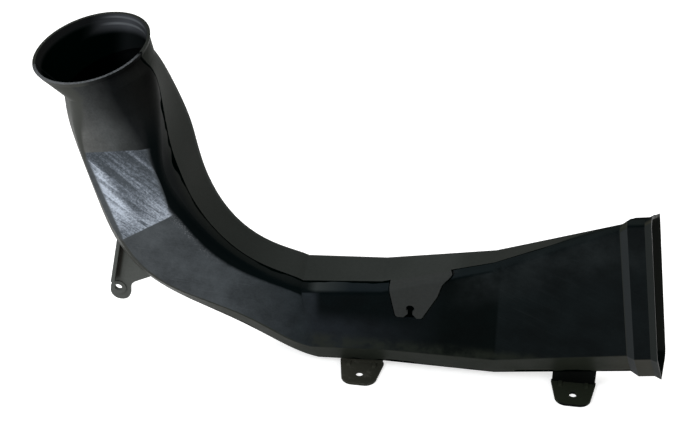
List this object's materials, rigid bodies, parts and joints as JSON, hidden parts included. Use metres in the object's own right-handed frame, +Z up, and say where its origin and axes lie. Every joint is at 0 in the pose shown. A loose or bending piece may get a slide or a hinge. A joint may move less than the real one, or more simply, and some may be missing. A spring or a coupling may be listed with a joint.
{
  "type": "air intake duct",
  "caption": "Moulded two-shell air intake duct: a round mouth on an upright neck bends into a flat leg that widens to a collared mouth, with bolt feet and a side lug.",
  "frame": {"origin": "midway between the bolt holes of the two feet, on the plane their plates seat on", "axes": "+X along the leg towards the wide mouth, +Y from the cover towards the tray, +Z up out of the feet"},
  "size_m": [0.516, 0.0942, 0.2949],
  "materials": {
    "cover_plastic": "satin, scuffed",
    "tray_plastic": "matt, fine grain"
  },
  "bodies": {
    "root": {"front_shell": "cover_plastic", "rear_shell": "tray_plastic"}
  },
  "joints": []
}
